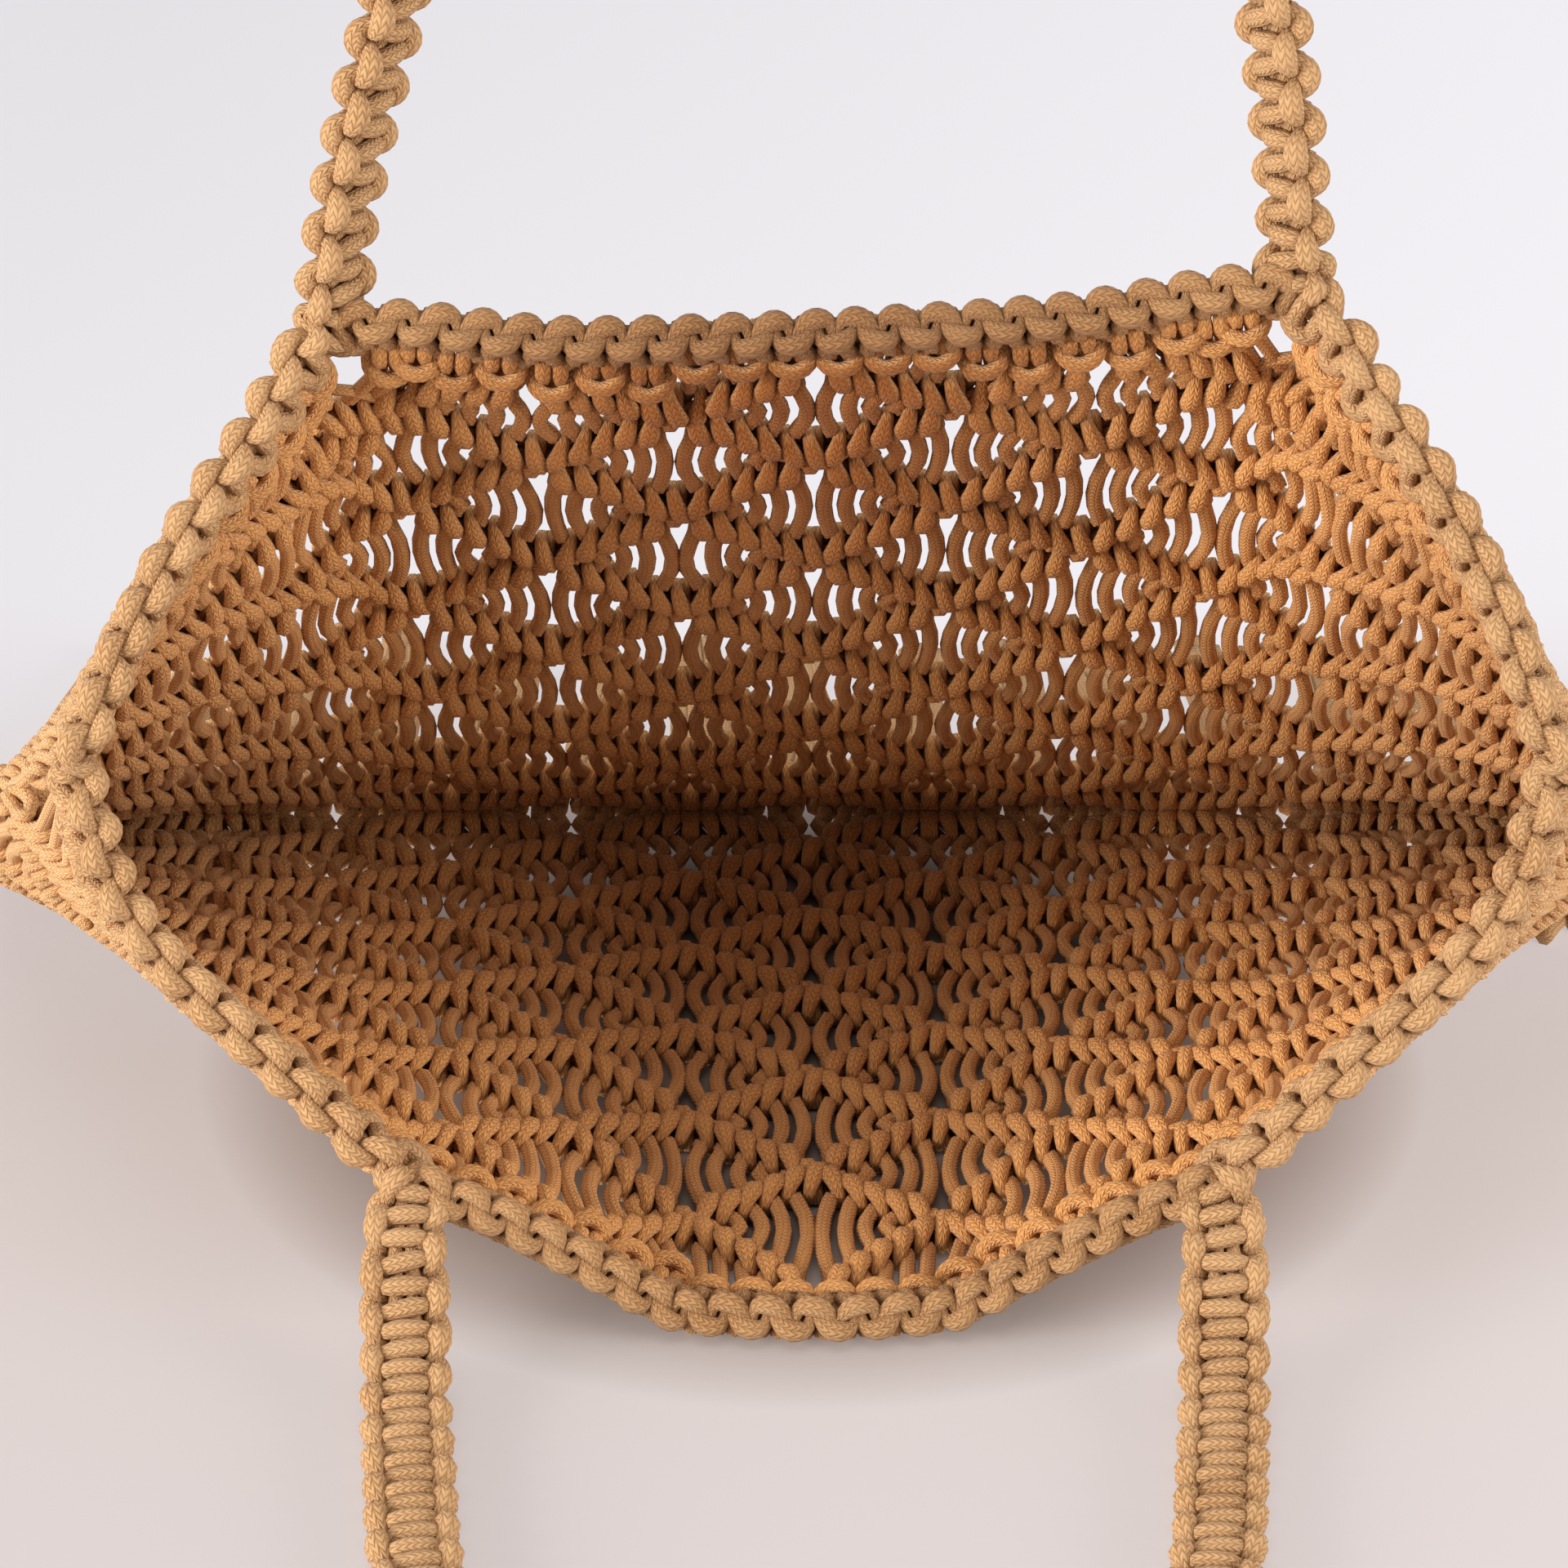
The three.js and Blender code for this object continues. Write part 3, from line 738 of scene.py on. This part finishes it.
def lock_line(k):
    """Middle line of one lock of the fringe, with its width and thickness."""
    share = 2 * k / (LOCK_COUNT - 1) - 1
    length = LOCK_LENGTH * (1 + LOCK_UNEVEN * math.sin(2.3 * k + 0.6))
    bend = LOCK_BEND * math.sin(1.7 * k)
    steps = np.arange(LOCK_STEPS + 1) / LOCK_STEPS
    turn = np.radians(LOCK_FAN * share * np.sqrt(steps) + bend * steps)
    step = length / LOCK_STEPS
    x = (SEAM_HALF - LOCK_WIDE / 2 - 4) * share + np.cumsum(np.append(0, np.sin(turn) * step))[:-1]
    y = HEAD_Y + np.cumsum(np.append(0, np.cos(turn) * step))[:-1]
    wide = LOCK_WIDE * (1 - 0.35 * steps**2)
    thick = LOCK_THICK * (1 - 0.4 * steps)
    return np.stack([x, y, np.cos(turn), -np.sin(turn), wide, thick], axis=1)


def fringe_cords():
    """Every cord of the net goes on past the seam and ends in one of the locks on the floor."""
    tubes = []
    total = 2 * CORD_COUNT
    locks = [lock_line(k) for k in range(LOCK_COUNT)]
    owners = [q * LOCK_COUNT // total for q in range(total)]
    for q in range(total):
        own = owners[q]
        mates = owners.count(own)
        rank = q - owners.index(own)
        lock = locks[own]
        start_x = SEAM_HALF * (2 * (q + 0.5) / total - 1)
        place = rank / (mates - 1) - 0.5
        layer = rank % 2
        wiggle = scatter(q, 0)
        reach = 0.86 + 0.14 * wiggle
        stops = np.linspace(0, 1, LOCK_STEPS + 1)
        rows = [(start_x, SEAM_Y + 9, 5.0 + 4.0 * layer), (start_x, HEAD_Y - 3, 3.5 + 3.6 * layer)]
        for s in stops[1:] * reach:
            at = [np.interp(s, stops, lock[:, i]) for i in range(6)]
            off = LOCK_FILL * place * (at[4] - 2.2 * CORD) + 1.1 * math.sin(5 * s + 6.28 * wiggle) * s
            low = CORD if layer == 0 else min(CORD * 2.75, at[5] - CORD)
            rows.append((at[0] + at[2] * off, at[1] + at[3] * off, low))
        way = smooth_way(rows, 3)
        _, axes = carried_axes(way, np.array([1.0, 0.0, 0.0]))
        size = np.full(len(way), CORD)
        size[-2:] = (CORD * 1.05, CORD * 1.2)
        tubes.append(tube(way, axes, size, size, STRAP_SIDES))
    corner = smooth_way(CORNER_WAY, 3)
    ahead = unit(np.gradient(corner, axis=0))
    for lane in (-1, 0, 1):
        run = len(corner) - 2 * abs(lane)
        aside = CORNER_LANE * lane * np.stack([ahead[:, 1], -ahead[:, 0]], axis=1)
        way = np.concatenate([(corner + aside)[:run], np.full((run, 1), CORD + 0.2)], axis=1)
        _, axes = carried_axes(way, np.array([0.0, 0.0, 1.0]))
        size = np.full(run, CORD)
        size[-1] = CORD * 1.2
        tubes.append(tube(way, axes, size, size, STRAP_SIDES))
    return tubes


# Finishes
def socket(group, name, way, kind, value=None):
    """Adds a named input or output to a shader node group."""
    made = group.interface.new_socket(name=name, in_out=way, socket_type=kind)
    if value is not None:
        made.default_value = value


def math_node(tree, operation, *values):
    """A Math node whose inputs are numbers or other nodes' outputs."""
    node = tree.nodes.new("ShaderNodeMath")
    node.operation = operation
    for k, value in enumerate(values):
        if isinstance(value, (int, float)):
            node.inputs[k].default_value = value
        else:
            tree.links.new(value, node.inputs[k])
    return node.outputs[0]


def braid_group():
    """Small V stitches in columns along the cord, from its unrolled surface."""
    group = bpy.data.node_groups.new("braided cotton", "ShaderNodeTree")
    socket(group, "Columns", "INPUT", "NodeSocketFloat", 8.0)
    socket(group, "Stitch", "INPUT", "NodeSocketFloat", 1.5)
    socket(group, "Slant", "INPUT", "NodeSocketFloat", 0.8)
    socket(group, "Height", "OUTPUT", "NodeSocketFloat")
    socket(group, "Groove", "OUTPUT", "NodeSocketFloat")
    given = group.nodes.new("NodeGroupInput")
    result = group.nodes.new("NodeGroupOutput")
    unrolled = group.nodes.new("ShaderNodeUVMap")
    unrolled.uv_map = "cord"
    split = group.nodes.new("ShaderNodeSeparateXYZ")
    group.links.new(unrolled.outputs[0], split.inputs[0])
    around = math_node(group, "MULTIPLY", split.outputs[0], given.outputs["Columns"])
    column = math_node(group, "FRACT", around)
    edge = math_node(group, "ABSOLUTE", math_node(group, "MULTIPLY_ADD", column, 2.0, -1.0))
    along = math_node(group, "DIVIDE", split.outputs[1], given.outputs["Stitch"])
    slanted = math_node(group, "MULTIPLY_ADD", edge, given.outputs["Slant"], along)
    place = math_node(group, "MULTIPLY", math_node(group, "FRACT", slanted), math.pi)
    rounded = math_node(group, "POWER", math_node(group, "SINE", place), 0.6)
    trough = math_node(group, "MULTIPLY", math_node(group, "POWER", edge, 4.0), 0.7)
    height = math_node(group, "MULTIPLY", rounded, math_node(group, "SUBTRACT", 1.0, trough))
    group.links.new(height, result.inputs["Height"])
    group.links.new(math_node(group, "SUBTRACT", 1.0, height), result.inputs["Groove"])
    return group


def cotton_group():
    """Uneven dye and loose fibres in the cotton: a mask from 0 to 1 and a fine fuzz."""
    group = bpy.data.node_groups.new("uneven cotton", "ShaderNodeTree")
    socket(group, "Patch", "INPUT", "NodeSocketFloat", 60.0)
    socket(group, "Fibre", "INPUT", "NodeSocketFloat", 2500.0)
    socket(group, "Shade", "OUTPUT", "NodeSocketFloat")
    socket(group, "Fuzz", "OUTPUT", "NodeSocketFloat")
    given = group.nodes.new("NodeGroupInput")
    result = group.nodes.new("NodeGroupOutput")
    place = group.nodes.new("ShaderNodeTexCoord")
    for scale, detail, mask in (("Patch", 3.0, "Shade"), ("Fibre", 2.0, "Fuzz")):
        noise = group.nodes.new("ShaderNodeTexNoise")
        noise.inputs["Detail"].default_value = detail
        group.links.new(place.outputs["Object"], noise.inputs["Vector"])
        group.links.new(given.outputs[scale], noise.inputs["Scale"])
        group.links.new(noise.outputs["Fac"], result.inputs[mask])
    return group


def painted_shade_group():
    """Painted shade: multiplies the cord's colour by the Inside and Deep colours where it faces the bag's
    hollow, and more so far inside it.
    """
    group = bpy.data.node_groups.new("inner tone", "ShaderNodeTree")
    socket(group, "Color", "INPUT", "NodeSocketColor")
    socket(group, "Inside", "INPUT", "NodeSocketColor", (1, 1, 1, 1))
    socket(group, "Deep", "INPUT", "NodeSocketColor", (1, 1, 1, 1))
    socket(group, "Color", "OUTPUT", "NodeSocketColor")
    given = group.nodes.new("NodeGroupInput")
    result = group.nodes.new("NodeGroupOutput")
    colour = given.outputs["Color"]
    for part in ("Inside", "Deep"):
        share = group.nodes.new("ShaderNodeAttribute")
        share.attribute_name = part.lower()
        blend = group.nodes.new("ShaderNodeMix")
        blend.data_type = "RGBA"
        blend.blend_type = "MULTIPLY"
        group.links.new(share.outputs["Fac"], blend.inputs["Factor"])
        group.links.new(colour, blend.inputs["A"])
        group.links.new(given.outputs[part], blend.inputs["B"])
        colour = blend.outputs["Result"]
    group.links.new(colour, result.inputs["Color"])
    return group


def cotton_finish(name, groups, light, dark, inside, deep, patch):
    """Matte cotton cord: light on the stitches and dark between them, partly uneven dye and partly
    painted shade in the grooves, then multiplied by the colours inside and deep of the painted hollow
    shade.
    """
    braid, cotton, painted_shade = groups
    finish = bpy.data.materials.new(name)
    finish.use_nodes = True
    tree = finish.node_tree
    shader = tree.nodes["Principled BSDF"]
    stitches = tree.nodes.new("ShaderNodeGroup")
    stitches.node_tree = braid
    stitches.inputs["Stitch"].default_value = 1.5
    uneven = tree.nodes.new("ShaderNodeGroup")
    uneven.node_tree = cotton
    uneven.inputs["Patch"].default_value = patch
    # Painted shade: darker in the grooves between stitches; the patches and fibres after it are uneven
    # dye
    painted_stitch_shade = math_node(tree, "MULTIPLY", stitches.outputs["Height"], 0.55)
    shade = math_node(tree, "MULTIPLY_ADD", uneven.outputs["Shade"], 0.7, painted_stitch_shade)
    fuzzy = math_node(tree, "MULTIPLY_ADD", uneven.outputs["Fuzz"], 0.25, shade)
    ramp = tree.nodes.new("ShaderNodeValToRGB")
    ramp.color_ramp.elements[0].position = 0.35
    ramp.color_ramp.elements[0].color = (*dark, 1)
    ramp.color_ramp.elements[1].position = 0.95
    ramp.color_ramp.elements[1].color = (*light, 1)
    tree.links.new(fuzzy, ramp.inputs["Fac"])
    # Painted shade where the cord faces the bag's hollow
    painted_shade_node = tree.nodes.new("ShaderNodeGroup")
    painted_shade_node.node_tree = painted_shade
    painted_shade_node.inputs["Inside"].default_value = (*inside, 1)
    painted_shade_node.inputs["Deep"].default_value = (*deep, 1)
    tree.links.new(ramp.outputs["Color"], painted_shade_node.inputs["Color"])
    tree.links.new(painted_shade_node.outputs["Color"], shader.inputs["Base Color"])
    rough = math_node(tree, "MULTIPLY_ADD", stitches.outputs["Groove"], 0.1, 0.82)
    tree.links.new(rough, shader.inputs["Roughness"])
    relief = math_node(tree, "MULTIPLY_ADD", uneven.outputs["Fuzz"], 0.35, stitches.outputs["Height"])
    bump = tree.nodes.new("ShaderNodeBump")
    bump.inputs["Strength"].default_value = 0.7
    bump.inputs["Distance"].default_value = 0.0005
    tree.links.new(relief, bump.inputs["Height"])
    tree.links.new(bump.outputs["Normal"], shader.inputs["Normal"])
    shader.inputs["Specular IOR Level"].default_value = 0.3
    shader.inputs["Sheen Weight"].default_value = 0.12
    shader.inputs["Sheen Roughness"].default_value = 0.5
    shader.inputs["Sheen Tint"].default_value = (1.0, 0.86, 0.68, 1)
    return finish


def ranged(tree, value, low, high, least=0.0, most=1.0):
    """A value's place between low and high, as a number from least to most."""
    node = tree.nodes.new("ShaderNodeMapRange")
    for name, number in zip(("From Min", "From Max", "To Min", "To Max"), (low, high, least, most)):
        node.inputs[name].default_value = number
    tree.links.new(value, node.inputs["Value"])
    return node.outputs["Result"]


def paper_finish():
    """Pale paper that glows as painted light but for a painted shadow round the bag, where it is also
    darker and browner; warmer in front and cooler behind.
    """
    finish = bpy.data.materials.new("pale paper")
    finish.use_nodes = True
    tree = finish.node_tree
    shader = tree.nodes["Principled BSDF"]
    place = tree.nodes.new("ShaderNodeTexCoord")
    split = tree.nodes.new("ShaderNodeSeparateXYZ")
    tree.links.new(place.outputs["Object"], split.inputs[0])
    across, along = split.outputs[0], split.outputs[1]
    ramp = tree.nodes.new("ShaderNodeValToRGB")
    ramp.color_ramp.elements[0].color = (*PAPER_NEAR, 1)
    ramp.color_ramp.elements[1].color = (*PAPER_FAR, 1)
    tree.links.new(ranged(tree, along, 0.05, 0.32), ramp.inputs["Fac"])
    shader.inputs["Roughness"].default_value = 0.9
    shader.inputs["Specular IOR Level"].default_value = 0.1
    # Painted light: the paper glows everywhere but round the bag, a little more to the right
    middle_x = float(LAYOUT_SHIFT[0]) / 1000
    middle_y = float(LAYOUT_SHIFT[1] + SHADOW_Y) / 1000
    aside = math_node(tree, "MULTIPLY_ADD", across, SHADOW_ACROSS, -SHADOW_ACROSS * middle_x)
    behind = math_node(tree, "MULTIPLY_ADD", along, SHADOW_ALONG, -SHADOW_ALONG * middle_y)
    away = math_node(tree, "MULTIPLY_ADD", aside, aside, math_node(tree, "MULTIPLY", behind, behind))
    clear = ranged(tree, away, 0.5, 1.7)
    slope = ranged(tree, across, -0.25, 0.25, 0.89 * PAPER_GLOW, 1.1 * PAPER_GLOW)
    tree.links.new(math_node(tree, "MULTIPLY", clear, slope), shader.inputs["Emission Strength"])
    # Painted shadow: darker, browner paper round the bag
    painted_shadow = tree.nodes.new("ShaderNodeMix")
    painted_shadow.data_type = "RGBA"
    painted_shadow.blend_type = "MULTIPLY"
    painted_shadow.inputs["B"].default_value = (*PAPER_SHADOW, 1)
    tree.links.new(math_node(tree, "SUBTRACT", 1.0, clear), painted_shadow.inputs["Factor"])
    tree.links.new(ramp.outputs["Color"], painted_shadow.inputs["A"])
    tree.links.new(painted_shadow.outputs["Result"], shader.inputs["Base Color"])
    tree.links.new(painted_shadow.outputs["Result"], shader.inputs["Emission Color"])
    return finish


# Floor, light and camera
def paper_floor():
    """A wide sheet of paper under the bag, which isn't part of it."""
    mesh = bpy.data.meshes.new("paper_floor")
    corners = [(x * FLOOR_REACH, y * FLOOR_REACH, 0) for x, y in ((-1, -1), (1, -1), (1, 1), (-1, 1))]
    mesh.from_pydata(corners, [], [(0, 1, 2, 3)])
    mesh.materials.append(paper_finish())
    floor = bpy.data.objects.new("paper_floor", mesh)
    bpy.context.scene.collection.objects.link(floor)


def soft_light(name, place, size, power, colour):
    """A large square lamp that looks at the bag."""
    lamp = bpy.data.lights.new(name, "AREA")
    lamp.shape = "SQUARE"
    lamp.size = size
    lamp.energy = power
    lamp.color = colour
    holder = bpy.data.objects.new(name, lamp)
    holder.location = place
    holder.rotation_euler = (Vector((0, 0, 0.08)) - Vector(place)).to_track_quat("-Z", "Y").to_euler()
    bpy.context.scene.collection.objects.link(holder)


def studio():
    """A bright tent that is darker towards the camera, with a window on each side."""
    world = bpy.data.worlds.new("studio")
    world.use_nodes = True
    tree = world.node_tree
    place = tree.nodes.new("ShaderNodeTexCoord")
    split = tree.nodes.new("ShaderNodeSeparateXYZ")
    tree.links.new(place.outputs["Generated"], split.inputs[0])
    rise = math_node(tree, "MULTIPLY_ADD", split.outputs[2], 0.2, 0.33)
    strength = math_node(tree, "MULTIPLY_ADD", split.outputs[1], 0.25, rise)
    tree.links.new(strength, tree.nodes["Background"].inputs["Strength"])
    tree.nodes["Background"].inputs["Color"].default_value = (1.0, 0.99, 0.99, 1)
    bpy.context.scene.world = world
    bpy.context.scene.view_settings.view_transform = "Standard"
    soft_light("left window", (-2.1, -1.3, 0.6), 1.4, LEFT_WINDOW, (1.0, 0.98, 0.96))
    soft_light("right window", (2.2, -1.1, 0.6), 1.4, RIGHT_WINDOW, (1.0, 0.98, 0.96))
    soft_light("ceiling", (-0.3, -0.6, 2.4), 1.6, CEILING, (0.98, 0.98, 1.0))


def camera():
    """The photograph's angle: down into the mouth, through a long lens."""
    lens = bpy.data.cameras.new("camera")
    lens.lens = VIEW_LENS
    lens.sensor_width = 36
    holder = bpy.data.objects.new("camera", lens)
    back = np.array([0, -math.cos(VIEW_TILT), math.sin(VIEW_TILT)])
    holder.location = (np.array(VIEW_AIM) + LAYOUT_SHIFT + VIEW_AWAY * back) / 1000
    holder.rotation_euler = (math.pi / 2 - VIEW_TILT, 0, 0)
    bpy.context.scene.collection.objects.link(holder)
    bpy.context.scene.camera = holder


# Making
camera()
studio()
paper_floor()
groups = braid_group(), cotton_group(), painted_shade_group()
# Net and rim cotton are lighter and darker copies of the handle's cotton, painted to how light falls on
# them, with painted hollow shade
net_cotton = cotton_finish("net cotton", groups, NET_LIGHT, NET_DARK, NET_PAINTED_SHADE, NET_PAINTED_DEEP_SHADE, 70.0)
rim_cotton = cotton_finish("rim cotton", groups, RIM_LIGHT, RIM_DARK, RIM_PAINTED_SHADE, RIM_PAINTED_DEEP_SHADE, 60.0)
handle_cotton = cotton_finish("handle cotton", groups, OUTER_LIGHT, OUTER_DARK, PLAIN, PLAIN, 50.0)
fringe_cotton = cotton_finish("fringe cotton", groups, OUTER_LIGHT, OUTER_DARK, PLAIN, PLAIN, 40.0)

net_half("back_net_left", BACK, -1, net_cotton, "back_panel")
net_half("back_net_right", BACK, 1, net_cotton, "back_panel")
net_half("front_net_left", FRONT, -1, net_cotton, "front_panel")
net_half("front_net_right", FRONT, 1, net_cotton, "front_panel")

back_handle = handle_knots(*handle_line(BACK, BACK_LOOP), BACK_LOOP_WIDTH)
front_handle = handle_knots(*handle_line(FRONT, FRONT_LOOP), FRONT_LOOP_WIDTH)
cord_piece("back_handle_knots", back_handle, handle_cotton, "back_handle")
cord_piece("front_handle_knots", front_handle, handle_cotton, "front_handle")
back_rim = rim_knots(rim_line(BACK, RIM_ROLL))
front_rim = rim_knots(rim_line(FRONT, RIM_ROLL))
cord_piece("back_rim_knots", back_rim, rim_cotton, "back_rim", BACK_RIM_PAINTED_SHADE)
cord_piece("front_rim_knots", front_rim, rim_cotton, "front_rim")
cord_piece("seam_knots", seam_knots(), net_cotton, "bottom_seam")
cord_piece("fringe_cords", fringe_cords(), fringe_cotton, "fringe")
